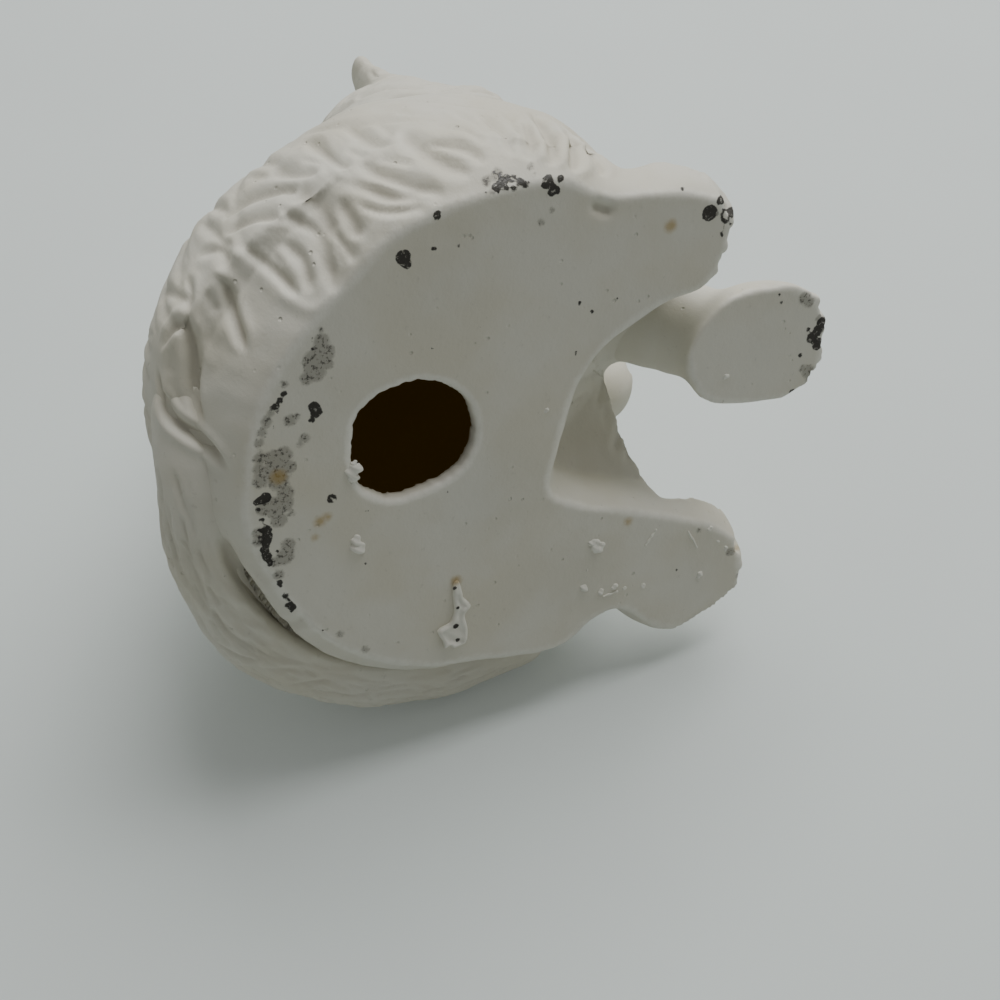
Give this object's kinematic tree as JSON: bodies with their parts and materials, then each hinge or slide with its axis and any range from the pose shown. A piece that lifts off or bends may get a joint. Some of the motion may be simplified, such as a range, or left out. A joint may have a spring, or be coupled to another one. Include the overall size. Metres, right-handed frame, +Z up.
{
  "type": "cat figurine",
  "caption": "Sitting kitten figurine in white bisque porcelain with a raised left paw, its tail wrapped round its left side, and a flat ground base with a round vent hole.",
  "frame": {"origin": "on the flat base, 3 mm in front of the vent hole's edge", "axes": "+Z up from the base, the kitten faces -Y, +X towards its left side"},
  "size_m": [0.1113, 0.1206, 0.1342],
  "materials": {
    "bisque": "matte unglazed",
    "slip": "matte unglazed"
  },
  "bodies": {
    "root": {"body_shell": "bisque", "head_shell": "bisque", "right_foreleg": "bisque", "left_foreleg": "bisque", "tail": "bisque", "neck_slip_joint": "slip", "right_foreleg_slip_joint": "slip", "left_foreleg_slip_joint": "slip", "tail_slip_joint": "slip"}
  },
  "joints": []
}
